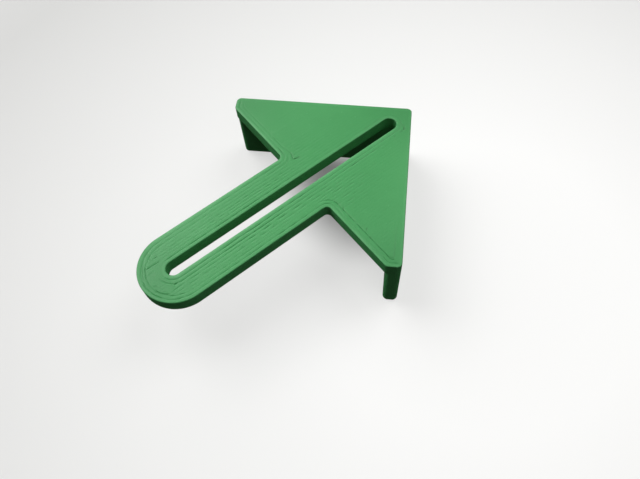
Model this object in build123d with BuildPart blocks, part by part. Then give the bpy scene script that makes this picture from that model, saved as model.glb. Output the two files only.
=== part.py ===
# Center finder: a flat triangular head with a long slotted blade, and two fences
# that hang under the head's legs. Stock with a square corner sits in the angle
# between the fences, and the slot then runs over the stock's diagonal.
#
# Frame: millimetres, +Z up. The origin is the inner corner of the two fences, on
# the plate's underside, where the corner of the stock goes. The fences stand on
# the +X and +Y sides of it, and the blade runs off along (-1, -1).

import os
from math import sqrt

from build123d import *

# ---- driving dimensions, mm -------------------------------------------------
leg_length = 25.4  # outer edge of each leg of the head, outer corner to short end
fence_thickness = 2.0  # also the length of the head's short end edges
plate_thickness = 2.0  # the head and the blade are one flat plate
fence_depth = 8.1  # underside of the plate to the fences' lower edge
corner_radius = 0.7  # upright outer corners of the head and of the fences
notch_radius = 0.65  # where the blade leaves the head

blade_width = 10.1
blade_end = 39.45  # outer corner to the centre of the blade's round end
slot_width = 2.0
slot_start = 4.3  # outer corner to the centre of the slot's inner round end
slot_end = 39.9  # outer corner to the centre of the slot's outer round end

rim_radius = 0.15  # rounding round the plate's upper face
foot_radius = 0.12  # rounding round the fences' lower edge

# ---- derived ----------------------------------------------------------------
end_along = leg_length / sqrt(2)  # a leg's outer end, along and across the diagonal
base_along = (leg_length + fence_thickness) / sqrt(2)  # the long edge's distance
base_across = (leg_length - fence_thickness) / sqrt(2)  # half of the long edge
blade_root = blade_width  # inside the head, where the blade's outline starts

# The plan is drawn on a plane at the outer corner. Its x runs along the diagonal,
# towards the blade's round end.
diagonal = Plane(
    origin=(fence_thickness, fence_thickness, 0),
    x_dir=(-1, -1, 0),
    z_dir=(0, 0, 1),
)


def near(shapes, points, tolerance=1e-3):
    """The vertices of shapes that lie on one of points."""
    return [
        v
        for v in shapes
        if any(abs(v.X - x) < tolerance and abs(v.Y - y) < tolerance for x, y in points)
    ]


with BuildPart() as center_finder:
    # head and blade in one plan: a right triangle with its two acute ends cut
    # square to the legs, and a bar with a full-round end
    with BuildSketch(diagonal) as plan:
        with BuildLine():
            Polyline(
                (0, 0),
                (end_along, end_along),
                (base_along, base_across),
                (base_along, -base_across),
                (end_along, -end_along),
                close=True,
            )
        make_face()
        with Locations(((blade_root + blade_end) / 2, 0)):
            SlotCenterToCenter(blade_end - blade_root, blade_width)
        fillet(
            near(
                plan.vertices(),
                [(base_along, blade_width / 2), (base_along, -blade_width / 2)],
            ),
            radius=notch_radius,
        )
        fillet(
            near(
                plan.vertices(),
                [
                    (0, 0),
                    (end_along, end_along),
                    (end_along, -end_along),
                    (base_along, base_across),
                    (base_along, -base_across),
                ],
            ),
            radius=corner_radius,
        )
        # the marking slot, round at both ends
        with Locations(((slot_start + slot_end) / 2, 0)):
            SlotCenterToCenter(slot_end - slot_start, slot_width, mode=Mode.SUBTRACT)
    extrude(amount=plate_thickness)

    # the two fences, one right angle, sharp inside so that the stock's corner
    # reaches the origin
    outer, tip = fence_thickness, fence_thickness - leg_length
    with BuildSketch(Plane.XY) as fences:
        with BuildLine():
            Polyline(
                (0, 0),
                (tip, 0),
                (tip, outer),
                (outer, outer),
                (outer, tip),
                (0, tip),
                close=True,
            )
        make_face()
        fillet(
            near(
                fences.vertices(),
                [(tip, 0), (tip, outer), (outer, outer), (outer, tip), (0, tip)],
            ),
            radius=corner_radius,
        )
    extrude(amount=-fence_depth)

    # small rounding round the upper face, the slot's mouth and the fences' feet
    fillet(
        center_finder.faces().sort_by(Axis.Z)[-1].edges(),
        radius=rim_radius,
    )
    fillet(
        center_finder.faces().sort_by(Axis.Z)[0].edges(),
        radius=foot_radius,
    )

center_finder.part.label = "center_finder"

os.makedirs("parts", exist_ok=True)
export_step(center_finder.part, "parts/center_finder.step")

box = center_finder.part.bounding_box()
print("size", box.size, "volume", round(center_finder.part.volume, 1), "mm3")
print("centre of mass", center_finder.part.center(CenterOf.MASS))
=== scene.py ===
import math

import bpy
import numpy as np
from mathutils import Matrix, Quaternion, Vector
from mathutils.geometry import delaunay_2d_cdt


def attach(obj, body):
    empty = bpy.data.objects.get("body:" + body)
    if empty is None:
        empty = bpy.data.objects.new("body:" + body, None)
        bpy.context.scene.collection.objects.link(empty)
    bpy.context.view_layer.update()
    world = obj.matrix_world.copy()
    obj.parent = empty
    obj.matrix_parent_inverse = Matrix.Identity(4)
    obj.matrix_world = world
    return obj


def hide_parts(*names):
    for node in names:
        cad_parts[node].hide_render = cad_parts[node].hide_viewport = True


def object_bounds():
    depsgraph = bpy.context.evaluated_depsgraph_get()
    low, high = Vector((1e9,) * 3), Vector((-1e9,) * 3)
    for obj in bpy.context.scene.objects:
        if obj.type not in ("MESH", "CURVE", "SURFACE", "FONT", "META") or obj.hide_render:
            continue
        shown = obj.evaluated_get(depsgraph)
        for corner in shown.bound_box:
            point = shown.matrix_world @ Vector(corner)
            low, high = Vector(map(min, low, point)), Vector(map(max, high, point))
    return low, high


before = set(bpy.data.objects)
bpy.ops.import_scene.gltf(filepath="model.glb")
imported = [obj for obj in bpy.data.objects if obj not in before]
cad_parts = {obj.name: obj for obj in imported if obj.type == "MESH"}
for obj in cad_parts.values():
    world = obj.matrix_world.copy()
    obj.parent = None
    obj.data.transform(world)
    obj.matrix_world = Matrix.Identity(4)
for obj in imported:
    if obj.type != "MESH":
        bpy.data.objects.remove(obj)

# The printed body of the center finder, built as one closed mesh with its printed
# lines: the flat bed side with its perimeter and infill lines, the stacked layers
# of every wall, and the mounded lines under the plate and on the fences' feet.
#
# Sizes are in millimetres until the mesh is made. Two frames are used in plan:
# row (x, y), which is the CAD frame, and (u, v), with u along the blade from the
# head's outer corner and v across it. The two have the same handedness.

cad_lo, cad_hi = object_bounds()

# ---- sizes, mm, as in the CAD model ------------------------------------------
LEG = 25.4  # outer edge of each leg
T = 2.0  # fence thickness
TOP = 2.0  # height of the plate's upper face over its underside
DEPTH = 8.1  # fences, below the plate's underside
R_CORNER = 0.7
R_NOTCH = 0.65
HALF = 5.05  # half the blade's width
BE = 39.45  # centre of the blade's round end
SR = 1.0  # half the slot's width
S0, S1 = 4.3, 39.9  # centres of the slot's round ends
RIM = 0.15
CROWN = 0.032  # how far the outermost bead slopes down before the rim's rounding
CROWN_FROM = 0.46
FOOT = 0.12

Q = math.sqrt(0.5)
BA = (LEG + T) * Q  # distance of the head's long edge

# ---- printed lines, mm -------------------------------------------------------
FIRST = 0.13  # the first layer, pressed on the bed
LAYERS_PLATE = 9
LAYER_PLATE = (TOP - FIRST) / LAYERS_PLATE
LAYERS_FENCE = 40
LAYER_FENCE = DEPTH / LAYERS_FENCE
VALLEY = 0.034  # how deep the line between two layers is
PERIMETER = 0.595  # from an edge to the line after its first bead, on the bed side
INNER = 1.12  # and to the line after its second bead
PITCH = 0.4525  # spacing of the infill beads on the bed side
ASIDE = 0.1  # the first layer's lines all lie this far to the blade's right


def row_of(u, v):
    return T + (v - u) * Q, T - (u + v) * Q


def uv_of(x, y):
    return (2 * T - x - y) * Q, (x - y) * Q


def field(seed, lengths, weights=None):
    """A smooth, repeatable wobble over the plan, within about -1 to 1."""
    rng = np.random.default_rng(seed)
    terms = []
    for i, length in enumerate(lengths):
        w = 1.0 if weights is None else weights[i]
        for _ in range(3):
            a = rng.uniform(0, 2 * math.pi)
            k = 2 * math.pi / (length * rng.uniform(0.8, 1.25))
            terms.append((w, k * math.cos(a), k * math.sin(a), rng.uniform(0, 7)))
    total = math.sqrt(sum(w * w for w, *_ in terms) / 2) * 1.7

    def at(x, y, shift=0.0):
        s = 0.0
        for w, kx, ky, p in terms:
            s = s + w * np.sin(kx * x + ky * y + p + shift * (1.7 + p))
        return s / total

    return at


# ---- plan outlines -----------------------------------------------------------
def line(p, q, n):
    """n steps from p to q, without q."""
    t = np.arange(n)[:, None] / n
    return np.asarray(p, float) * (1 - t) + np.asarray(q, float) * t


def arc(c, r, a0, a1, n):
    """n steps round c from angle a0 to a1 in degrees, without the last point."""
    a = np.radians(a0 + (a1 - a0) * np.arange(n) / n)
    return np.stack([c[0] + r * np.cos(a), c[1] + r * np.sin(a)], 1)


def shared_chain(d, fine=1.0):
    """From one fence end round the outer corner to the other, in (u, v), inset by d."""
    r = max(R_CORNER - d, 0.02)
    n = max(2, round(33 * fine))
    lo = T - LEG + d
    hi = T - d
    parts = [
        line((0.5, lo), (hi - r, lo), 3),
        arc((hi - r, lo + r), r, -90, 0, 8),
        line((hi, lo + r), (hi, hi - r), n),
        arc((hi - r, hi - r), r, 0, 90, 10),
        line((hi - r, hi), (lo + r, hi), n),
        arc((lo + r, hi - r), r, 90, 180, 8),
        line((lo, hi - r), (lo, 0.5), 3),
        np.array([(lo, 0.5)]),
    ]
    p = np.concatenate(parts)
    return np.stack(uv_of(p[:, 0], p[:, 1]), 1)


def plate_chain(d, fine=1.0):
    """The rest of the plate's outline, in (u, v), without its two ends."""
    r = max(R_CORNER - d, 0.02)
    rn = R_NOTCH + d
    ub = BA - d
    vc = math.sqrt(2) * (LEG - d) - BA + d  # the head's lower corners, +-v
    vb = HALF - d
    tan = r * math.tan(math.radians(22.5))
    a = arc((ub - r, -vc + tan), r, -45, 0, 5)
    nh, nb, ne = (max(2, round(k * fine)) for k in (15, 28, 56))
    side = np.concatenate(
        [
            a,
            line((ub, -vc + tan), (ub, -vb - rn), nh),
            arc((ub + rn, -vb - rn), rn, 180, 90, 9),
            line((ub + rn, -vb), (BE, -vb), nb),
        ]
    )
    end = arc((BE, 0), vb, -90, 90, ne)
    other = side[::-1] * (1, -1)
    return np.concatenate([side, end, [(BE, vb)], other])


def fence_chain(d):
    """The fences' inner outline from one end to the other, in (u, v), without its ends."""
    r = max(R_CORNER - d, 0.02)
    lo = T - LEG + d
    parts = [
        arc((lo + r, d + r), r, 180, 270, 7)[1:],
        line((lo + r, d), (d, d), 33),
        line((d, d), (d, lo + r), 33),
        arc((d + r, lo + r), r, 180, 270, 7),
    ]
    p = np.concatenate(parts)
    return np.stack(uv_of(p[:, 0], p[:, 1]), 1)


def slot_ring(d, fine=1.0):
    """The slot's edge moved into the plate by d, anticlockwise."""
    r = SR + d
    n = max(2, round(52 * fine))
    m = 22
    return np.concatenate(
        [
            line((S0, -r), (S1, -r), n),
            arc((S1, 0), r, -90, 90, m),
            line((S1, r), (S0, r), n),
            arc((S0, 0), r, 90, 270, m),
        ]
    )


def plate_ring(d, fine=1.0):
    return np.concatenate([shared_chain(d, fine), plate_chain(d, fine)])


# ---- distances from the edges, for grooves and wear ---------------------------
def inside_plate(u, v):
    """Distance in from the plate's outline."""
    w = np.abs(v)
    leg = (u - w) * Q
    short = np.where(u > BA, HALF, LEG - (u + w) * Q)
    return np.minimum(np.minimum(leg, short), inside_open_edge(u, v))


def inside_open_edge(u, v):
    """The same for the part of the outline with no fence under it."""
    w = np.abs(v)
    p, q = BA + R_NOTCH - u, HALF + R_NOTCH - w
    notch = np.hypot(np.maximum(p, 0), np.maximum(q, 0)) - R_NOTCH
    far = np.where(q <= 0, BA - u, np.where(p <= 0, HALF - w, notch))
    return np.where(u > BE, HALF - np.hypot(u - BE, v), far)


def from_slot(u, v):
    """Distance out from the slot's edge."""
    du = np.maximum(np.maximum(S0 - u, u - S1), 0)
    return np.hypot(du, v) - SR


# the share of the crown's full strength, and of the edge's paleness (worn, with a painted highlight), by the way that
# an edge faces:
# the angle from the blade's direction, turning towards its right side
FACING = (-180, -135, -90, -72, -50, -20, 0, 30, 60, 90, 135, 180)
CROWN_BY = (0.6, 0.35, 0.92, 0.45, 0.25, 0.3, 0.6, 0.6, 0.6, 0.4, 0.25, 0.6)


def crown_share(angle):
    return np.interp(angle, FACING, CROWN_BY)


def edge_shares(u, v):
    """For the legs, short edges, open edge and slot: distance in, and share of the crown."""
    w = np.abs(v)
    away = np.sign(v) + (v == 0)
    p, q = BA + R_NOTCH - u, HALF + R_NOTCH - w
    in_notch = np.degrees(np.arctan2(np.maximum(q, 0), np.maximum(p, 1e-9)))
    turn = np.where(q <= 0, 0.0, np.where(p <= 0, 90.0, in_notch)) * away
    turn = np.where(u > BE, np.degrees(np.arctan2(v, np.maximum(u - BE, 1e-6))), turn)
    # the long edges are crowned more than the round end's front
    open_share = np.where((q <= 0) & (u < BE), 0.85, crown_share(turn))
    slot_turn = np.degrees(np.arctan2(-v, np.clip(u, S0, S1) - u))
    return (
        ((u - w) * Q, crown_share(135.0 * away)),
        (np.where(u > BA, HALF, LEG - (u + w) * Q), np.where(away > 0, 0.5, 0.45)),
        (inside_open_edge(u, v), open_share),
        (from_slot(u, v), crown_share(slot_turn)),
    )


def rub_and_highlight(share):
    """How pale an edge is painted: partly worn, partly a painted highlight, most where its crown is higher, on the
    edges that face the key lamps.
    """
    return np.clip(0.15 + 1.1 * share, 0, 1)


def nearest_share(u, v):
    """The crown's share at the nearest edge."""
    d, share = zip(*edge_shares(u, v))
    pick = np.argmin(np.stack(d), axis=0)
    return np.choose(pick, [np.broadcast_to(s, u.shape) for s in share])


def cut(x, w):
    """A groove's section: 1 at its bottom, 0 at w from it."""
    return np.clip(1 - np.abs(x) / w, 0, 1) ** 1.6


# ---- the mesh under construction ---------------------------------------------
points = []  # arrays of (u, v, z)
shade = []  # arrays of (groove, wear_and_highlight) for the material: its painted groove shade, and its paler edges, worn and with a painted highlight
faces = []
count = 0


def add(u, v, z, groove=0.0, wear_and_highlight=0.0):
    global count
    u, v, z, groove, wear_and_highlight = np.broadcast_arrays(u, v, z, groove, wear_and_highlight)
    points.append(np.stack([u, v, z], 1).astype(float))
    shade.append(np.stack([groove, wear_and_highlight], 1).astype(float))
    i = np.arange(count, count + len(u))
    count += len(u)
    return i


def strip(upper, lower, closed=True, outward=True):
    """Quads between two rings of one length. Rings run anticlockwise, seen from above."""
    a, b = upper, lower
    n = len(a)
    k = np.arange(n if closed else n - 1)
    m = (k + 1) % n
    quad = np.stack([b[k], b[m], a[m], a[k]], 1)
    if not outward:
        quad = quad[:, ::-1]
    faces.extend(quad.tolist())


# Walls. Each ring point moves straight in by its inset, so an outline at no inset
# and the same one a little further in give all of them.
shared0, plate0, fence0, slot0 = shared_chain(0), plate_chain(0), fence_chain(0), slot_ring(0)
step_in = 0.1
shared_in = (shared_chain(step_in) - shared0) / step_in
plate_in = (plate_chain(step_in) - plate0) / step_in
fence_in = (fence_chain(step_in) - fence0) / step_in
slot_in = (slot_ring(step_in) - slot0) / step_in

wall_slow = field(11, (7.0, 3.1), (1, 0.6))
wall_fast = field(12, (1.3, 0.7), (1, 0.8))
layer_rng = np.random.default_rng(5)
layer_shift = layer_rng.uniform(-1, 1, 80)
layer_drift = layer_rng.uniform(0, 9, 80)


def inset_at(p, base, layer, soft=1.0):
    """How far in a wall point lies: its bead's section, and each layer's own wander."""
    wander = (
        0.007
        + 0.0030 * layer_shift[layer]
        + 0.0022 * wall_slow(p[:, 0], p[:, 1], layer_drift[layer] * 0.35)
        + 0.0018 * wall_fast(p[:, 0], p[:, 1], layer_drift[layer])
    )
    return base + np.maximum(wander, 0) * soft


def seam(p, layer):
    """Small blobs one above another in the upper notch, where each layer's line ends."""
    at = plate0[5 + 15 + 4]
    r = np.hypot(p[:, 0] - at[0], p[:, 1] - at[1])
    return -0.05 * np.exp(-((r / 0.16) ** 2)) * (0.6 + 0.4 * layer_shift[layer])


def wall(chain, inward, base, layer, z, soft=1.0, wear_and_highlight=0.0):
    d = inset_at(chain, base, layer, soft)
    if 0 < layer <= LAYERS_PLATE and chain is plate0:
        d = d + seam(chain, layer)
    p = chain + inward * d[:, None]
    # the layer valleys get a groove value, which the material paints as shade
    groove = min(1.0, base / VALLEY) if base <= VALLEY * 1.01 else 0.0
    return add(p[:, 0], p[:, 1], z, groove * 0.8, wear_and_highlight)


# rows of the plate's walls: (height, inset, layer, share of the wander, worn paleness and painted highlight)
rim_steps = 6
rim_slope = 2 / (CROWN_FROM - RIM)
rows = []


def rim_height(k, crown):
    """Height of the rim's row k, where the bead beside it is crowned by crown."""
    a = math.radians(90 * k / rim_steps)
    straight = crown * (1 + rim_slope * RIM * math.sin(a))
    turn = (FIRST - 0.02 - crown * (1 + rim_slope * RIM)) * (1 - math.cos(a))
    return TOP - straight - turn


for k in range(rim_steps + 1):
    a = math.radians(90 * k / rim_steps)
    # a little wander in the first row keeps its points out of line, so that the
    # upper face's triangles all have some area
    rows.append((k, RIM * (1 - math.sin(a)), 0, max(k / rim_steps, 0.3), 1.0 - 0.08 * k))
rim_rows = len(rows)
rows.append((TOP - FIRST, VALLEY * 0.9, 0, 1.0, 0.0))
for n in range(1, LAYERS_PLATE + 1):
    z = TOP - FIRST - (n - 1) * LAYER_PLATE
    for share, base in ((0.17, 0.011), (0.5, 0.0), (0.83, 0.011), (1.0, VALLEY)):
        rows.append((z - share * LAYER_PLATE, base, n, 1.0, 0.0))

shared_rows, plate_rows, slot_rows = [], [], []
for n, (z, base, layer, soft, wear_and_highlight) in enumerate(rows):
    for chain, inward, made in (
        (shared0, shared_in, shared_rows),
        (plate0, plate_in, plate_rows),
        (slot0, slot_in, slot_rows),
    ):
        if n < rim_rows:
            share = nearest_share(chain[:, 0], chain[:, 1])
            top = rim_height(z, CROWN * share)
            # rim rows are paler: worn, and a painted highlight by the edge's facing
            made.append(wall(chain, inward, base, layer, top, soft, wear_and_highlight * rub_and_highlight(share)))
        else:
            made.append(wall(chain, inward, base, layer, max(z, 0.0), soft, wear_and_highlight))
for k in range(len(rows) - 1):
    strip(
        np.concatenate([shared_rows[k], plate_rows[k]]),
        np.concatenate([shared_rows[k + 1], plate_rows[k + 1]]),
    )
    strip(slot_rows[k], slot_rows[k + 1], outward=False)

# rows of the fences' walls below the plate
f_rows = []
for n in range(LAYERS_FENCE):
    z = -n * LAYER_FENCE
    last = n == LAYERS_FENCE - 1
    if not last:
        for share, base in ((0.17, 0.011), (0.5, 0.0), (0.83, 0.011), (1.0, VALLEY)):
            f_rows.append((z - share * LAYER_FENCE, base, LAYERS_PLATE + 1 + n, 1.0, 0.0))
    else:
        f_rows.append((z - 0.17 * LAYER_FENCE, 0.011, LAYERS_PLATE + 1 + n, 1.0, 0.0))
        for k in range(4):
            a = math.radians(90 * k / 3)
            f_rows.append(
                (
                    -DEPTH + FOOT * (1 - math.sin(a)),
                    FOOT * (1 - math.cos(a)),
                    LAYERS_PLATE + 1 + n,
                    1.0,
                    0.25 * k,
                )
            )
fence_top = wall(fence0, fence_in, VALLEY, LAYERS_PLATE, 0.0)
above = np.concatenate([shared_rows[-1], fence_top])
for z, base, layer, soft, wear_and_highlight in f_rows:
    below = np.concatenate(
        [
            wall(shared0, shared_in, base, layer, z, soft, wear_and_highlight),
            wall(fence0, fence_in, base, layer, z, soft, wear_and_highlight),
        ]
    )
    strip(above, below)
    above = below
foot_ring = above


def uv_at(index):
    return np.concatenate(points)[index][:, :2]


def within(pts, ring):
    """Even-odd test of points against a closed ring."""
    inside = np.zeros(len(pts), bool)
    a = ring
    b = np.roll(ring, -1, axis=0)
    x, y = pts[:, 0], pts[:, 1]
    for (x0, y0), (x1, y1) in zip(a, b):
        if y0 == y1:
            continue
        hit = ((y0 > y) != (y1 > y)) & (x < (x1 - x0) * (y - y0) / (y1 - y0) + x0)
        inside ^= hit
    return inside


def cover(rings, lines, dots, height, marks, up=True):
    """Fills the region inside rings[0] and outside the others with triangles that
    follow the lines. rings are index arrays of vertices that the mesh already has."""
    ring_pts = [uv_at(r) for r in rings]
    co, edges, owner = [], [], []
    n = 0
    for r, p in zip(rings, ring_pts):
        k = np.arange(len(p))
        co.append(p)
        edges.append(np.stack([n + k, n + (k + 1) % len(p)], 1))
        owner.extend(r.tolist())
        n += len(p)
    fixed = n
    for p, closed in lines:
        if len(p) < 2:
            continue
        k = np.arange(len(p) if closed else len(p) - 1)
        co.append(p)
        edges.append(np.stack([n + k, n + (k + 1) % len(p)], 1))
        n += len(p)
    if len(dots):
        co.append(np.asarray(dots))
    co = np.concatenate(co)
    edges = np.concatenate(edges)
    out = delaunay_2d_cdt(
        [Vector(p) for p in co.tolist()], edges.tolist(), [], 0, 1e-5, True
    )
    made = np.array([tuple(p) for p in out[0]])
    tris = np.array([f for f in out[2] if len(f) == 3])
    where = np.full(len(made), -1)
    for i, origin in enumerate(out[3]):
        for o in origin:
            if o < fixed:
                where[i] = owner[o]
                break
    middle = made[tris].mean(axis=1)
    keep = within(middle, ring_pts[0])
    for p in ring_pts[1:]:
        keep &= ~within(middle, p)
    tris = tris[keep]
    # only corners that a kept triangle uses become vertices
    used = np.unique(tris)
    new = used[where[used] < 0]
    u, v = made[new, 0], made[new, 1]
    groove, wear_and_highlight = marks(u, v)
    where[new] = add(u, v, height(u, v), groove, wear_and_highlight)
    a, b, c = (made[tris[:, k]] for k in range(3))
    area = (b[:, 0] - a[:, 0]) * (c[:, 1] - a[:, 1]) - (b[:, 1] - a[:, 1]) * (c[:, 0] - a[:, 0])
    flip = (area < 0) == up
    tris[flip] = tris[flip][:, ::-1]
    faces.extend(where[tris].tolist())
    return len(tris)


def spaced(p, q, gap):
    n = max(1, int(math.ceil(math.hypot(q[0] - p[0], q[1] - p[1]) / gap)))
    return np.concatenate([line(p, q, n), [q]])


def runs(fixed, along_u, clear, lo, hi, step=0.02):
    """The stretches of a straight infill line where clear() is above 0."""
    s = np.arange(lo, hi, step)
    f = clear(s, np.full_like(s, fixed)) if along_u else clear(np.full_like(s, fixed), s)
    ok = f > 0
    edge = np.flatnonzero(np.diff(ok.astype(int)))
    cuts = [0, *(edge + 1), len(s)]
    return [(s[a], s[b - 1]) for a, b in zip(cuts, cuts[1:]) if ok[a] and b - a > 3]


# ---- the bed side --------------------------------------------------------------
depth_wave = field(21, (4.3, 1.9, 0.9), (1, 0.9, 0.7))
depth_slow = field(22, (11.0, 6.0))
depth_fast = field(25, (1.5, 1.0), (1, 0.7))
wobble = field(24, (5.0, 1.7), (1, 0.55))
dash_rng = np.random.default_rng(37)
dash_k = 2 * math.pi / dash_rng.uniform(0.9, 3.4, (200, 4))
dash_p = dash_rng.uniform(0, 2 * math.pi, (200, 4))
sheet_wave = field(23, (9.0, 5.5))
bead_rng = np.random.default_rng(31)

# infill lines: (v, first u, last u, closed at the first end, closed at the last end)
wing = [INNER + SR + PITCH * j for j in range(1, 40)]
wing = [w for w in wing if w < LEG * Q]
lines_v = [w * s for w in wing for s in (-1, 1)]
inner_pitch = 2 * (SR + INNER) / 9
lines_v += [(k + 0.5) * inner_pitch for k in range(-4, 4)]
infill = []


def clear_of_rings(u, v):
    return np.minimum(inside_plate(u, v), from_slot(u, v)) - INNER


for n, v in enumerate(sorted(lines_v)):
    for lo, hi in runs(v, True, clear_of_rings, 0.0, 44.6):
        if hi - lo < 0.25:
            continue
        first_closed = n % 2 == 0
        a = lo + (0.40 if first_closed else -0.05)
        b = hi - (0.40 if not first_closed else -0.05)
        if b - a > 0.2:
            infill.append((v, a, b, first_closed, not first_closed, n))
infill_v = np.array([f[0] for f in infill])
infill_a = np.array([f[1] for f in infill])
infill_b = np.array([f[2] for f in infill])
infill_ca = np.array([f[3] for f in infill])
infill_cb = np.array([f[4] for f in infill])
infill_deep = bead_rng.uniform(0.75, 1.25, len(infill))

# pin gaps where two beads part, beside the slot's far end: (u, v, size)
gaps = np.array([(40.86, 1.97, 0.9), (41.17, 1.66, 0.6)])


def at_end(*stops):
    """(angle in degrees, inset, depth) at the blade's round end, as (u, v, depth)."""
    out = []
    for angle, inset, depth in stops:
        r, a = HALF - inset, math.radians(angle)
        out.append((BE + r * math.cos(a), r * math.sin(a) + 0.05, depth))
    return out


# single marks of the print: a half width, then the marks as (u, v, depth) stops
STROKES = [
    # the second perimeter line on the round end, which comes and goes
    (0.105, at_end((17, 1.02, 0), (21, 1.03, 0.045), (28, 1.05, 0.05), (36, 1.10, 0.05), (44, 1.17, 0.04), (48, 1.24, 0))),
    (0.10, at_end((5, 1.22, 0), (12, 1.42, 0.012), (20, 1.55, 0.012), (31, 1.56, 0))),
    (0.10, at_end((46, 1.25, 0), (50, 1.5, 0.010), (54, 1.8, 0.010), (58, 2.1, 0))),
    (0.10, at_end((62, 1.08, 0), (66, 1.09, 0.035), (72, 1.08, 0.03), (75, 1.08, 0))),
    (0.10, at_end((-37, 1.12, 0), (-33, 1.10, 0.045), (-25, 1.12, 0.035), (-15, 1.09, 0.045), (-7, 1.05, 0))),
    (0.08, at_end((-41, 0.72, 0), (-35, 0.73, 0.02), (-25, 0.75, 0.028), (-17, 0.76, 0.028), (-12, 0.76, 0))),
    (0.08, at_end((-6, 0.46, 0), (-3, 0.46, 0.03), (3, 0.46, 0.03), (7, 0.46, 0))),
    # where the infill turns back on the round end
    (0.10, at_end((-49, 2.52, 0.0), (-46.5, 2.38, 0.045), (-41, 2.05, 0.03), (-36, 1.75, 0.035), (-32.5, 1.35, 0.05), (-31, 1.15, 0))),
    (0.10, at_end((-54.5, 1.17, 0), (-54, 1.3, 0.02), (-52, 1.6, 0.02), (-51, 1.8, 0))),
    (0.13, at_end((-54, 2.5, 0), (-51, 2.56, 0.06), (-48, 2.5, 0))),
    (0.10, at_end((-67, 2.02, 0), (-64, 2.0, 0.035), (-59, 1.85, 0.05), (-55, 1.70, 0))),
    # round the left notch: both perimeter lines, and the infill's hooked end
    (
        0.10,
        [
            (18.25, -8.9, 0), (18.27, -8.2, 0.035), (18.22, -7.6, 0.018), (18.25, -7.0, 0.022), (18.22, -6.4, 0.02),
            (18.15, -5.7, 0.02), (18.05, -5.2, 0.014), (18.0, -4.93, 0.035), (18.08, -4.5, 0.05), (18.3, -4.05, 0.08),
            (18.33, -3.8, 0.0),
        ],
    ),
    (0.13, [(18.38, -3.82, 0.0), (18.2, -3.70, 0.09), (17.9, -3.63, 0.08), (17.62, -3.61, 0.07), (17.4, -3.59, 0)]),
    (0.09, [(18.8, -6.9, 0), (18.84, -6.4, 0.045), (18.87, -5.8, 0.055), (18.95, -5.33, 0.03), (19.1, -4.98, 0)]),
    # along the right wing's long edge, and round its tip
    (0.10, [(17.68, 6.1, 0), (17.9, 6.4, 0.012), (18.1, 6.7, 0.04), (18.25, 6.95, 0.04), (18.32, 7.1, 0)]),
    (0.11, [(17.6, 10.80, 0), (17.75, 10.97, 0.06), (17.95, 11.2, 0.025), (18.15, 11.45, 0)]),
    (0.13, [(18.1, 12.1, 0), (18.2, 12.27, 0.06), (18.24, 12.5, 0)]),
    (0.10, [(18.24, 14.05, 0), (18.27, 14.25, 0.035), (18.27, 14.4, 0)]),
    (
        0.14,
        [
            (18.24, 15.2, 0), (18.22, 15.75, 0.03), (18.06, 16.1, 0.035), (17.86, 16.22, 0.03), (17.5, 15.98, 0.018),
            (16.5, 14.98, 0.018), (15.2, 13.72, 0.012), (14.0, 12.55, 0),
        ],
    ),
    (0.10, [(16.1, 4.88, 0), (16.5, 4.92, 0.01), (17.2, 5.0, 0.01), (17.5, 5.05, 0)]),
    # beside the slot's near end
    (0.10, [(2.85, 1.22, 0), (3.0, 1.34, 0.03), (3.25, 1.52, 0.03), (3.4, 1.6, 0)]),
    (0.13, [(3.0, 1.72, 0), (3.15, 1.83, 0.08), (3.4, 2.05, 0.09), (3.58, 2.2, 0)]),
    (0.14, [(3.65, 2.05, 0), (3.88, 2.1, 0.06), (4.15, 2.12, 0)]),
    (0.13, [(5.0, 2.05, 0), (5.25, 2.13, 0.035), (5.5, 2.08, 0)]),
]


FAR_SIDE = 1.8  # a mark's right side slopes this much more gently than its left


def stroke_depth(u, v):
    total = np.zeros_like(u)
    for w, stops in STROKES:
        s = np.array(stops, float)
        far = w * FAR_SIDE
        near = (u > s[:, 0].min() - far) & (u < s[:, 0].max() + far)
        near &= (v > s[:, 1].min() - far) & (v < s[:, 1].max() + far)
        if not near.any():
            continue
        un, vn, best = u[near], v[near], np.zeros(near.sum())
        for (u0, v0, d0), (u1, v1, d1) in zip(s, s[1:]):
            long = (u1 - u0) ** 2 + (v1 - v0) ** 2
            t = np.clip(((un - u0) * (u1 - u0) + (vn - v0) * (v1 - v0)) / long, 0, 1)
            pu, pv = un - u0 - t * (u1 - u0), vn - v0 - t * (v1 - v0)
            off = np.hypot(pu, pv) / np.where(0.4 * pu + pv > 0, FAR_SIDE, 1.0)
            best = np.maximum(best, (d0 + t * (d1 - d0)) * cut(off, w))
        total[near] = np.maximum(total[near], best)
    return total


W1, W2, WI = 0.095, 0.10, 0.085  # half widths of the grooves
DEEPER = 1.6  # the long lines' depths are all scaled by this
# depth of the second perimeter line round the blade's end, by angle
END_AT = (-90, -60, -38, -10, 5, 15, 50, 60, 76, 90)
END_DEPTH = (0.016, 0.014, 0.010, 0.018, 0.018, 0.022, 0.020, 0.012, 0.014, 0.006)


def aside(u, v):
    """How far the bed side's lines lie from their even places, as (du, dv)."""
    swell = 0.10 * np.exp(-(((v - 3.35) / 0.55) ** 2))
    swell = swell + np.interp(v, (-4.6, -4.0, -3.55, -3.1, -2.64, -2.38, -2.25), (0, 0.03, 0.05, 0.085, 0.105, 0.03, 0))
    return 0.04 * np.clip((u - 41.0) / 2, 0, 1), ASIDE + swell + 0.02 * wobble(u, v)


def laid(p):
    """Points of the even pattern, moved to where the lines lie."""
    u, v = p[:, 0], p[:, 1]
    for _ in range(3):
        du, dv = aside(u, v)
        u, v = p[:, 0] + du, p[:, 1] + dv
    return np.stack([u, v], 1)


def dashes(k, s):
    """Line k's share of its full depth along its length: it comes and goes."""
    t = sum(np.sin(dash_k[k, i] * s + dash_p[k, i]) for i in range(4)) / 2
    return np.clip(1 + 0.75 * t, 0.08, 2.0)


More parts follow.
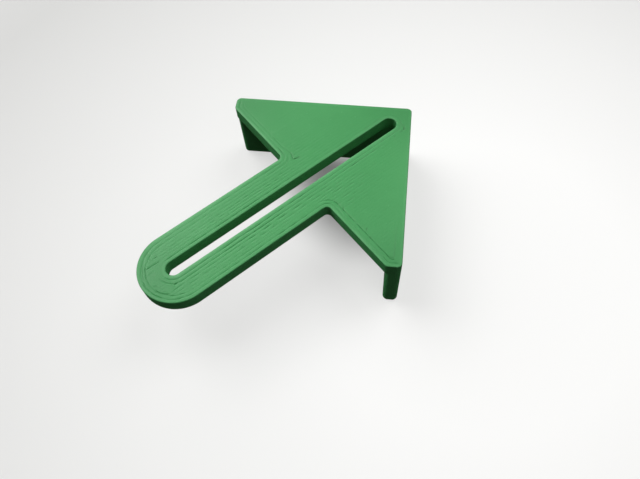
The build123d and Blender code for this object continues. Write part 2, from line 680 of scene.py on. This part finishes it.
def grooves_top(u, v):
    """Depth of the printed lines on the bed side, mm, above 0."""
    marks = stroke_depth(u, v)
    du, dv = aside(u, v)
    u, v = u - du, v - dv
    d, s = inside_plate(u, v), from_slot(u, v)
    by_leg = (u - np.abs(v)) * Q < d + 1e-9
    wave = np.clip(1 + 0.42 * depth_wave(u, v) + 0.30 * depth_fast(u, v), 0.15, 1.9)
    slow = depth_slow(u, v)
    blade = np.clip((u - BA + 1) / 2, 0, 1)
    end = np.clip((u - 38.5) / 2, 0, 1)
    right = np.clip(v / 2 + 0.5, 0, 1)
    grow = np.clip((u - 19) / 8, 0, 1)
    outer = 0.014 + 0.004 * right * (1 - blade) + (0.002 + 0.010 * right) * blade + 0.003 * slow
    left_end = np.where(v < 0, end, 0)
    turn = np.degrees(np.arctan2(v, np.maximum(u - BE, 1e-6)))
    round_end = np.interp(turn, END_AT, END_DEPTH)
    second = 0.012 + 0.022 * right * (1 - blade) - (0.001 + 0.004 * right) * blade + 0.003 * slow
    second = second * (1 - end) + round_end * end
    less = np.where(v > 0, 0.42 * np.clip((u - 27) / 4, 0, 1), 0.50 * np.clip((u - 31) / 3, 0, 1))
    outer = outer * (1 - less * np.clip((41 - u) / 2, 0, 1))
    outer, second = np.where(by_leg, 0, outer), np.where(by_leg, 0, second)
    ring = np.maximum(outer * cut(d - PERIMETER, W1), second * cut(d - INNER, W2))
    s1 = 0.020 - 0.003 * right + (0.012 - 0.006 * right) * blade + 0.005 * right * grow
    s2 = 0.013 + 0.008 * right + 0.003 * blade * (1 - right) + 0.011 * right * grow
    s2 = s2 * np.clip((u - 3.5) / 6, 0.25, 1)
    s1 = s1 * np.where(v > 0, 1 + 0.12 * np.clip((12 - u) / 4, 0, 1) - 0.30 * np.clip((u - 31) / 4, 0, 1), 0.78)
    s2 = s2 * np.where(v > 0, 1 + 0.6 * np.clip((17 - u) / 4, 0, 1) - 0.28 * np.clip((u - 31) / 4, 0, 1), 0.8)
    # both grow and fade along the blade
    s1 = s1 * np.where(
        v > 0,
        np.interp(u, (16, 20, 25, 30, 35, 39), (1.1, 0.8, 1.0, 1.15, 0.9, 1.0)),
        np.interp(u, (25, 30, 35, 39), (1.0, 1.25, 1.2, 1.0)),
    )
    s2 = s2 * np.where(
        v > 0,
        np.interp(u, (8, 13, 20, 25, 30, 35, 39), (0.6, 0.9, 0.78, 0.88, 1.12, 1.2, 1.0)),
        np.interp(u, (20, 25, 30), (0.6, 0.75, 1.0)),
    )
    # past the slot's end both are plain only on the right
    round_slot = np.degrees(np.arctan2(v, np.maximum(u - S1, 1e-6)))
    round_slot = np.interp(round_slot, (-90, -65, 0, 20), (1, 0.25, 0.3, 1))
    s1, s2 = s1 * round_slot, s2 * round_slot * np.where(v < 0, 1 - 0.5 * np.clip((u - 28) / 4, 0, 1), 1.0)
    by_slot = np.maximum(s1 * cut(s - PERIMETER, W1), s2 * cut(s - INNER, W2))
    ring = np.maximum(ring * wave, by_slot * (0.3 + 0.7 * wave))
    # infill
    w = np.abs(v)
    head = np.clip(1.0 - (w - 4.0) / 5.0, 0.30, 1.0) * np.clip((u - 6) / 12, 0.30, 1)
    head = head * np.where(v > 0, 0.6, 0.5)
    fade = head + (1 - head) * blade
    fade = fade * np.where((w < SR + INNER) & (u > 40), 0.35, 1.0) * (1 - 0.15 * left_end)
    left_less = np.interp(u, (16, 20, 25, 27, 31, 33, 36), (0.30, 0.38, 0.20, 0.15, 0.48, 0.48, 0.63))
    fade = fade * (1 - np.where(v < 0, left_less, 0.40 * np.clip((u - 29) / 6, 0, 1)))
    fade = fade * (1 + 0.3 * np.clip((w - 3) / 1, 0, 1) * (1 - blade) * (v > 0))
    # paler away from the slot, and on the blade's left half
    band = np.where(v > 0, np.clip(0.80 - (w - 2.56) * 0.55, 0.25, 0.8), 0.70)
    fade = fade * (1 - blade + blade * band)
    fill = np.zeros_like(ring)
    for k in range(len(infill)):
        near = np.abs(v - infill_v[k]) < WI
        if not near.any():
            continue
        un = u[near]
        ta = (un - infill_a[k]) / 0.5 if infill_ca[k] else (un - infill_a[k]) / 0.05 + 1
        tb = (infill_b[k] - un) / 0.5 if infill_cb[k] else (infill_b[k] - un) / 0.05 + 1
        win = np.clip(np.minimum(ta, tb), 0, 1)
        fill[near] = np.maximum(
            fill[near],
            0.022 * infill_deep[k] * dashes(k, un) * win * cut(v[near] - infill_v[k], WI) * fade[near],
        )
    total = np.maximum(DEEPER * np.maximum(ring, fill), marks)
    for gu, gv, size in gaps:
        r = np.hypot(u - gu, (v - gv) * 1.3)
        total = np.maximum(total, 0.11 * size * np.exp(-((r / (0.07 + 0.06 * size)) ** 2)))
    return np.clip(total, 0, 0.16)


bead_level = bead_rng.uniform(-1, 1, 200)


def height_top(u, v):
    d, s = inside_plate(u, v), from_slot(u, v)
    edge = np.minimum(d, s)
    crown = 0.0
    for e, share in edge_shares(u, v):
        crown = np.maximum(crown, CROWN * share * np.clip((CROWN_FROM - e) / (CROWN_FROM - RIM), 0, 1) ** 2)
    ring_no = (edge > PERIMETER).astype(int) + (edge > INNER)
    lane = np.where(ring_no < 2, ring_no * 60 + (d < s) * 3, np.round(v / PITCH).astype(int) + 100)
    bead = 0.0035 * (bead_level[lane] - 1)
    sheet = 0.006 * (sheet_wave(u, v) - 1)
    z = TOP - 0.001 - grooves_top(u, v) - crown + (bead + sheet) * np.clip(edge / 0.5, 0, 1)
    return np.minimum(z, TOP)


def marks_top(u, v):
    edge = np.minimum(inside_plate(u, v), from_slot(u, v))
    # the groove value is painted as shade in the lines and marks; the second value is worn paleness with a painted
    # highlight near the edges
    groove = np.clip(grooves_top(u, v) / 0.07 + stroke_depth(u, v) / 0.06, 0, 1)
    return groove, np.clip((0.5 - edge) / 0.35, 0, 1) * rub_and_highlight(nearest_share(u, v))


TIPS = ((0.0, 0.0), (LEG * Q + 0.7, LEG * Q - 0.7), (LEG * Q + 0.7, 0.7 - LEG * Q), (BE + 4.0, 0.0))


def painted_end_shade(u, v):
    """Painted shade, darker towards the outer corner, both wings' tips and the blade's end."""
    total = 0.0
    for tu, tv in TIPS:
        total = total + np.exp(-(((u - tu) ** 2 + (v - tv) ** 2) / 36.0))
    return np.clip(total, 0, 1)


top_lines = []
for d in (0.20, 0.26, 0.34):
    top_lines.append((plate_ring(d, 1.5), True))
    top_lines.append((slot_ring(d, 1.5), True))
for at, w in ((PERIMETER, W1), (INNER, W2)):
    for k in (-1, -0.45, 0, 0.45, 1):
        top_lines.append((laid(plate_ring(at + k * w, 2.4)), True))
        top_lines.append((laid(slot_ring(at + k * w, 2.4)), True))
for v, a, b, ca, cb, n in infill:
    a0 = a - 0.02 if ca else a
    b0 = b + 0.02 if cb else b
    mid = np.concatenate([spaced((a0, v), (min(b0, 19.0), v), 0.42), spaced((max(a0, 19.0), v), (b0, v), 0.28)])
    mid = mid[(mid[:, 0] >= a0) & (mid[:, 0] <= b0)]
    # closer steps where a closed groove fades out
    extra = [a + k for k in (0.12, 0.25, 0.5)] if ca else []
    extra += [b - k for k in (0.12, 0.25, 0.5)] if cb else []
    us = np.unique(np.concatenate([mid[:, 0], [e for e in extra if a < e < b]]))
    us = us[np.concatenate([[True], np.diff(us) > 0.04])]
    for k in (-WI, -0.45 * WI, 0, 0.45 * WI, WI):
        top_lines.append((laid(np.stack([us, np.full_like(us, v + k)], 1)), False))
for w, stops in STROKES:
    s = np.array(stops)[:, :2]
    path = np.concatenate([spaced(p, q, 0.15)[:-1] for p, q in zip(s, s[1:])] + [s[-1:]])
    along = np.gradient(path, axis=0)
    along /= np.maximum(np.hypot(along[:, 0], along[:, 1]), 1e-9)[:, None]
    across = np.stack([-along[:, 1], along[:, 0]], 1)
    across *= np.where(across @ (0.4, 1.0) < 0, -1, 1)[:, None]
    for k in (-1, -0.45, 0, 0.45 * FAR_SIDE, FAR_SIDE):
        top_lines.append((path + across * k * w, False))
top_dots = []
for gu, gv, size in gaps:
    for r in (0.07, 0.14):
        for a in np.arange(8) * math.pi / 4 + 0.2:
            top_dots.append((gu + r * math.cos(a), gv + ASIDE + r * math.sin(a)))
n_top = cover(
    [np.concatenate([shared_rows[0], plate_rows[0]]), slot_rows[0]],
    top_lines,
    top_dots,
    height_top,
    marks_top,
)

# ---- the plate's underside -----------------------------------------------------
UNDER = 0.43  # spacing of its infill lines, which run across the blade
under_ring = 2 * 0.45
under_wave = field(41, (3.9, 1.7, 0.8), (1, 1, 0.8))


def clear_under(u, v):
    return np.minimum(inside_open_edge(u, v), from_slot(u, v)) - under_ring


def under_fence(u, v):
    """Distance from the fences' inner walls, above 0 clear of them."""
    x, y = row_of(u, v)
    return -np.maximum(x, y)


under_u = np.arange(3.0, 44, UNDER)
under_runs = []
for n, u in enumerate(under_u):
    for lo, hi in runs(u, False, lambda a, b: np.minimum(clear_under(a, b), under_fence(a, b) - 0.06), -19.5, 19.5):
        if hi - lo > 0.3:
            under_runs.append((u, lo + 0.02, hi - 0.02, n))


def grooves_under(u, v):
    d, s = inside_open_edge(u, v), from_slot(u, v)
    wave = 1 + 0.25 * under_wave(u, v)
    ring = np.maximum.reduce(
        [0.05 * cut(x - k, 0.14) for x in (d, s) for k in (0.45, under_ring)]
    )
    phase = (u - under_u[0]) / UNDER
    off = np.abs(phase - np.round(phase)) * UNDER
    fill = 0.06 * np.clip(1 - off / (UNDER / 2), 0, 1) ** 1.8
    fill = fill * (np.minimum(d, s) > under_ring)
    return np.maximum(ring, fill) * wave


def height_under(u, v):
    return np.clip(grooves_under(u, v) + 0.004, 0, 0.1)


def marks_under(u, v):
    # the groove value is painted as shade
    return np.clip(grooves_under(u, v) / 0.06, 0, 1), np.zeros_like(u)


under_lines = []


def clip_ring(p, keep):
    """The stretches of a closed ring for which keep() holds."""
    ok = keep(p[:, 0], p[:, 1]) > 0
    if ok.all():
        return [(p, True)]
    start = int(np.flatnonzero(~ok)[0])
    p, ok = np.roll(p, -start, axis=0), np.roll(ok, -start)
    edge = np.flatnonzero(np.diff(ok.astype(int))) + 1
    cuts = [0, *edge, len(p)]
    return [(p[a:b], False) for a, b in zip(cuts, cuts[1:]) if ok[a] and b - a > 1]


for k in (0.2, 0.32, 0.39, 0.45, 0.51, 0.58, 0.68, 0.77, 0.84, 0.9, 0.96):
    chain = plate_chain(k, 1.2)
    under_lines += [
        (p, False)
        for p, _ in clip_ring(chain, lambda a, b: np.minimum(under_fence(a, b) - 0.08, 1))
        if len(p) > 1
    ]
    under_lines += clip_ring(slot_ring(k, 1.2), lambda a, b: under_fence(a, b) - 0.08)
for u, lo, hi, n in under_runs:
    for k in (-0.2, -0.11, -0.05, 0, 0.05, 0.11):
        ok_lo, ok_hi = lo, hi
        pts = spaced((u + k, ok_lo), (u + k, ok_hi), 0.9)
        good = np.minimum(
            clear_under(pts[:, 0], pts[:, 1]), under_fence(pts[:, 0], pts[:, 1]) - 0.04
        )
        pts = pts[good > 0]
        if len(pts) > 1:
            under_lines.append((pts, False))
n_under = cover(
    [np.concatenate([[shared_rows[-1][-1]], plate_rows[-1], [shared_rows[-1][0]], fence_top[::-1]]), slot_rows[-1]],
    under_lines,
    [],
    height_under,
    marks_under,
    up=False,
)

# ---- the fences' feet ----------------------------------------------------------
foot_wave = field(51, (2.7, 1.2))


def inside_fence(u, v):
    x, y = row_of(u, v)
    outer = np.minimum(T - x, T - y)
    inner = np.maximum(x, y)
    ends = np.minimum(x, y) - (T - LEG)
    return np.minimum(np.minimum(outer, inner), ends)


def grooves_foot(u, v):
    d = inside_fence(u, v)
    g = np.maximum(0.05 * cut(d - 0.48, 0.14), 0.05 * cut(d - 0.955, 0.14))
    return g * (1 + 0.25 * foot_wave(u, v))


def height_foot(u, v):
    return -DEPTH + np.clip(grooves_foot(u, v) + 0.003, 0.001, 0.1)


def marks_foot(u, v):
    # the groove value is painted as shade; the second value is worn paleness at the feet's edges
    return np.clip(grooves_foot(u, v) / 0.06, 0, 1), np.clip((0.3 - inside_fence(u, v)) / 0.2, 0, 0.6)


foot_lines = []
for d in (0.24, 0.36, 0.43, 0.48, 0.53, 0.60, 0.72, 0.84, 0.905):
    foot_lines.append((np.concatenate([shared_chain(d), fence_chain(d)]), True))
mid = T / 2
c0 = spaced((T - LEG + mid, mid), (mid, mid), 0.7)
c1 = spaced((mid, mid), (mid, T - LEG + mid), 0.7)
c = np.concatenate([c0, c1[1:]])
foot_lines.append((np.stack(uv_of(c[:, 0], c[:, 1]), 1), False))
n_foot = cover([foot_ring], foot_lines, [], height_foot, marks_foot, up=False)

# ---- the Blender mesh ----------------------------------------------------------
co = np.concatenate(points)
marks = np.concatenate(shade)
x, y = row_of(co[:, 0], co[:, 1])
xyz = np.stack([x, y, co[:, 2]], 1) * 0.001
lo, hi = np.array(cad_lo), np.array(cad_hi)
outside = np.maximum(lo - xyz, xyz - hi).max()
if outside > 2e-5:
    raise ValueError(f"the mesh leaves the CAD box by {outside * 1000:.3f} mm")
xyz = np.clip(xyz, lo, hi)

mesh = bpy.data.meshes.new("printed_body")
mesh.from_pydata(xyz.tolist(), [], faces)
# the third value is the painted shade towards the part's far ends
marks = np.column_stack([marks, painted_end_shade(co[:, 0], co[:, 1])])
for name, column in (("groove", 0), ("wear_and_highlight", 1), ("painted_end_shade", 2)):
    a = mesh.attributes.new(name, "FLOAT", "POINT")
    a.data.foreach_set("value", marks[:, column].astype(np.float32))
mesh.shade_smooth()
mesh.set_sharp_from_angle(angle=math.radians(62))
mesh.validate()
body = bpy.data.objects.new("printed_body", mesh)
bpy.context.scene.collection.objects.link(body)
print("triangles", sum(len(f) - 2 for f in faces), "top", n_top, "under", n_under, "foot", n_foot)


# ---- materials -----------------------------------------------------------------
class Nodes:
    """Short calls for building one material's node tree."""

    def __init__(self, name):
        self.material = bpy.data.materials.new(name)
        self.material.use_nodes = True
        self.tree = self.material.node_tree
        self.tree.nodes.clear()

    def node(self, kind, inputs=None, **settings):
        n = self.tree.nodes.new(kind)
        for k, value in settings.items():
            setattr(n, k, value)
        for k, value in (inputs or {}).items():
            if isinstance(value, bpy.types.NodeSocket):
                self.tree.links.new(value, n.inputs[k])
            else:
                n.inputs[k].default_value = value
        return n

    def math(self, op, a, b=0.0, clamp=False):
        n = self.node("ShaderNodeMath", {0: a, 1: b}, operation=op)
        n.use_clamp = clamp
        return n.outputs[0]

    def noise(self, coords, scale, detail=3.0, rough=0.55, distortion=0.0):
        n = self.node(
            "ShaderNodeTexNoise",
            {"Vector": coords, "Scale": scale, "Detail": detail, "Roughness": rough, "Distortion": distortion},
        )
        return n.outputs["Fac"]

    def fade(self, value, a, b):
        """0 where value is a, 1 where it is b, with a soft change between."""
        n = self.node(
            "ShaderNodeMapRange",
            {"Value": value, "From Min": a, "From Max": b},
            interpolation_type="SMOOTHSTEP",
        )
        return n.outputs["Result"]

    def ramp(self, fac, stops):
        n = self.node("ShaderNodeValToRGB", {"Fac": fac})
        r = n.color_ramp
        while len(r.elements) > 1:
            r.elements.remove(r.elements[-1])
        for i, (pos, colour) in enumerate(stops):
            e = r.elements[0] if i == 0 else r.elements.new(pos)
            e.position = pos
            e.color = (*colour, 1.0) if len(colour) == 3 else colour
        return n.outputs["Color"]

    def mix(self, fac, a, b, kind="MIX"):
        n = self.node("ShaderNodeMix", data_type="RGBA", blend_type=kind)
        for k, value in ((0, fac), (6, a), (7, b)):
            if isinstance(value, bpy.types.NodeSocket):
                self.tree.links.new(value, n.inputs[k])
            else:
                n.inputs[k].default_value = value if k == 0 else (*value, 1.0)
        return n.outputs[2]


def plastic():
    m = Nodes("green_filament")
    coords = m.node("ShaderNodeTexCoord").outputs["Object"]
    groove = m.node("ShaderNodeAttribute", attribute_name="groove").outputs["Fac"]
    wear_and_highlight = m.node("ShaderNodeAttribute", attribute_name="wear_and_highlight").outputs["Fac"]
    # colour: a deep green with slow and fine unevenness
    slow = m.noise(coords, 90.0, 3.0, 0.5)
    fine = m.noise(coords, 900.0, 4.0, 0.6)
    base = m.ramp(
        slow,
        (
            (0.30, (0.048, 0.262, 0.080)),
            (0.50, (0.053, 0.279, 0.087)),
            (0.72, (0.060, 0.294, 0.095)),
        ),
    )
    base = m.mix(m.math("MULTIPLY", fine, 0.35), base, (0.066, 0.300, 0.097))
    # painted shade: darker towards the outer corner, the wings' tips and the blade's end
    end_shade = m.node("ShaderNodeAttribute", attribute_name="painted_end_shade").outputs["Fac"]
    end_shade = m.math("MULTIPLY", end_shade, m.math("ADD", m.math("MULTIPLY", slow, 0.6), 0.20))
    base = m.mix(end_shade, base, (0.034, 0.196, 0.058))
    # painted shade in the printed lines, the marks and the walls' layer valleys; edges are paler, partly worn and
    # partly a painted highlight
    painted_groove_shade = m.math("MULTIPLY", groove, 0.35)
    base = m.mix(painted_groove_shade, base, (0.016, 0.110, 0.030))
    # paler edges: worn plastic broken up by noise, plus a painted highlight that follows the crown's facing
    edge_noise = m.noise(coords, 420.0, 5.0, 0.65)
    pale_rub_and_highlight = m.math("MULTIPLY", wear_and_highlight, m.math("MULTIPLY", m.math("SUBTRACT", edge_noise, 0.30), 1.3, clamp=True), clamp=True)
    base = m.mix(pale_rub_and_highlight, base, (0.130, 0.380, 0.170))
    # small pale specks
    cells = m.node("ShaderNodeTexVoronoi", {"Vector": coords, "Scale": 900.0}, feature="F1")
    speck = m.math("MULTIPLY", m.math("LESS_THAN", cells.outputs["Distance"], 0.09), 0.16)
    base = m.mix(speck, base, (0.13, 0.42, 0.18))
    # gloss
    patch = m.noise(coords, 260.0, 4.0, 0.6)
    rough = m.math("ADD", m.math("MULTIPLY", patch, 0.16), 0.32)
    rough = m.math("ADD", rough, m.math("MULTIPLY", groove, 0.15))
    # surface: fine grain of the bed and of the drawn plastic
    grain = m.noise(coords, 2600.0, 4.0, 0.6)
    wavy = m.noise(coords, 500.0, 3.0, 0.5)
    b1 = m.node("ShaderNodeBump", {"Strength": 0.25, "Distance": 0.00003, "Height": grain})
    b2 = m.node(
        "ShaderNodeBump",
        {"Strength": 0.35, "Distance": 0.00006, "Height": wavy, "Normal": b1.outputs["Normal"]},
    )
    shader = m.node(
        "ShaderNodeBsdfPrincipled",
        {"Base Color": base, "Roughness": rough, "IOR": 1.46, "Normal": b2.outputs["Normal"]},
    )
    shader.inputs["Specular IOR Level"].default_value = 0.29
    m.node("ShaderNodeOutputMaterial", {"Surface": shader.outputs["BSDF"]})
    return m.material


# painted light: the floor glows, as a pool brightest round the part, dimmest about 9 cm out and paler again further
# off; by distance from its middle, in thirds of a metre
GLOW = (
    (0.072, (0.63, 0.63, 0.625)),
    (0.144, (0.53, 0.53, 0.525)),
    (0.276, (0.32, 0.32, 0.315)),
    (0.42, (0.35, 0.35, 0.345)),
    (1.0, (0.58, 0.58, 0.575)),
)
BACK = (0.62, 0.62, 0.615)


def backdrop():
    m = Nodes("pale_backdrop")
    m.node("ShaderNodeOutputMaterial", {"Surface": m.node("ShaderNodeEmission", {"Color": (*BACK, 1)}).outputs[0]})
    return m.material


def glowing_floor():
    m = Nodes("pale_floor")
    coords = m.node("ShaderNodeTexCoord").outputs["Object"]
    away = m.node(
        "ShaderNodeVectorMath", {0: coords, 1: (0.012, -0.018, 0.0)}, operation="DISTANCE"
    ).outputs["Value"]
    painted_floor_glow = m.ramp(m.math("MULTIPLY", away, 3.0), GLOW)
    # the floor glows, so that shadows on it stay pale; under the head the glow is dimmed, a painted shadow
    part = m.node("ShaderNodeSeparateXYZ", {0: coords})
    x, y = part.outputs["X"], part.outputs["Y"]
    legs = m.fade(m.math("MAXIMUM", x, y), 0.0026, -0.0022)
    middle = m.node(
        "ShaderNodeVectorMath", {0: coords, 1: (-0.004, -0.004, floor_z)}, operation="DISTANCE"
    ).outputs["Value"]
    # painted shadow: the glow is cut under the head
    under = m.math("MULTIPLY", m.math("MULTIPLY", legs, m.fade(middle, 0.0155, 0.006)), 0.75)
    painted_floor_glow = m.mix(under, painted_floor_glow, (0.0, 0.0, 0.0))
    shader = m.node("ShaderNodeBsdfPrincipled", {"Emission Color": painted_floor_glow, "Roughness": 0.9})
    shader.inputs["Base Color"].default_value = (0.30, 0.30, 0.297, 1)
    shader.inputs["Emission Strength"].default_value = 1.0
    shader.inputs["Specular IOR Level"].default_value = 0.1
    m.node("ShaderNodeOutputMaterial", {"Surface": shader.outputs["BSDF"]})
    return m.material


mesh.materials.append(plastic())
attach(body, "root")
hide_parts("center_finder")

# ---- floor, light and camera ---------------------------------------------------
floor_z = -DEPTH * 0.001
ring = [(0.0, 0.0, floor_z)] + [
    (1.8 * math.cos(a), 1.8 * math.sin(a), floor_z) for a in np.arange(64) * math.pi / 32
]
floor_mesh = bpy.data.meshes.new("floor")
floor_mesh.from_pydata(ring, [], [(0, 1 + k, 1 + (k + 1) % 64) for k in range(64)])
floor_mesh.materials.append(glowing_floor())
floor = bpy.data.objects.new("floor", floor_mesh)
floor.visible_diffuse = False
floor.visible_glossy = False
bpy.context.scene.collection.objects.link(floor)

# a pale wall far round the floor, seen only by the camera
rim_ring = np.arange(64) * math.pi / 32
wall_mesh = bpy.data.meshes.new("backdrop")
wall_mesh.from_pydata(
    [(1.76 * math.cos(a), 1.76 * math.sin(a), z) for z in (floor_z - 0.01, 2.6) for a in rim_ring],
    [],
    [(k, (k + 1) % 64, 64 + (k + 1) % 64, 64 + k) for k in range(64)],
)
wall_mesh.materials.append(backdrop())
screen = bpy.data.objects.new("backdrop", wall_mesh)
for ray in ("diffuse", "glossy", "transmission", "volume_scatter", "shadow"):
    setattr(screen, "visible_" + ray, False)
bpy.context.scene.collection.objects.link(screen)


def area(name, at, aim, size, watts, colour=(1, 1, 1)):
    light = bpy.data.lights.new(name, "AREA")
    light.shape = "RECTANGLE"
    light.size, light.size_y = size
    light.energy = watts
    light.color = colour
    o = bpy.data.objects.new(name, light)
    o.location = at
    o.rotation_mode = "QUATERNION"
    o.rotation_quaternion = (Vector(at) - Vector(aim)).to_track_quat("Z", "Y")
    bpy.context.scene.collection.objects.link(o)
    return o


def lamp(name, azimuth, elevation, watts):
    """A soft square lamp round the part, azimuth turning from +Y towards +X."""
    middle = Vector((-0.012, -0.012, 0.0))
    a, e = math.radians(azimuth), math.radians(elevation)
    way = Vector((math.sin(a) * math.cos(e), math.cos(a) * math.cos(e), math.sin(e)))
    return area(name, tuple(middle + 0.78 * way), middle, (0.5, 0.5), watts)


lamp("soft_key", -60, 52, 3.94)
lamp("soft_side", -75, 28, 1.82)
lamp("soft_rim", -35, 28, 2.1)
lamp("soft_back", 45, 52, 2.7)
lamp("soft_fill", 135, 52, 0.92)

world = bpy.data.worlds.new("studio")
world.use_nodes = True
world.node_tree.nodes["Background"].inputs["Color"].default_value = (1.0, 1.0, 0.80, 1)
world.node_tree.nodes["Background"].inputs["Strength"].default_value = 0.05
bpy.context.scene.world = world
bpy.context.scene.view_settings.view_transform = "Standard"

lens = bpy.data.cameras.new("camera")
lens.lens = 33.858
lens.sensor_width = 36.0
lens.sensor_fit = "HORIZONTAL"
lens.clip_start, lens.clip_end = 0.002, 20.0
camera = bpy.data.objects.new("camera", lens)
camera.location = (-0.00136919995, -0.0567354709, 0.06839435532)
camera.rotation_mode = "QUATERNION"
camera.rotation_quaternion = Quaternion(
    (0.9664396633393969, 0.2489277988519548, 0.0350213277957766, 0.0529418046781044)
)
bpy.context.scene.collection.objects.link(camera)
bpy.context.scene.camera = camera

bpy.context.view_layer.update()
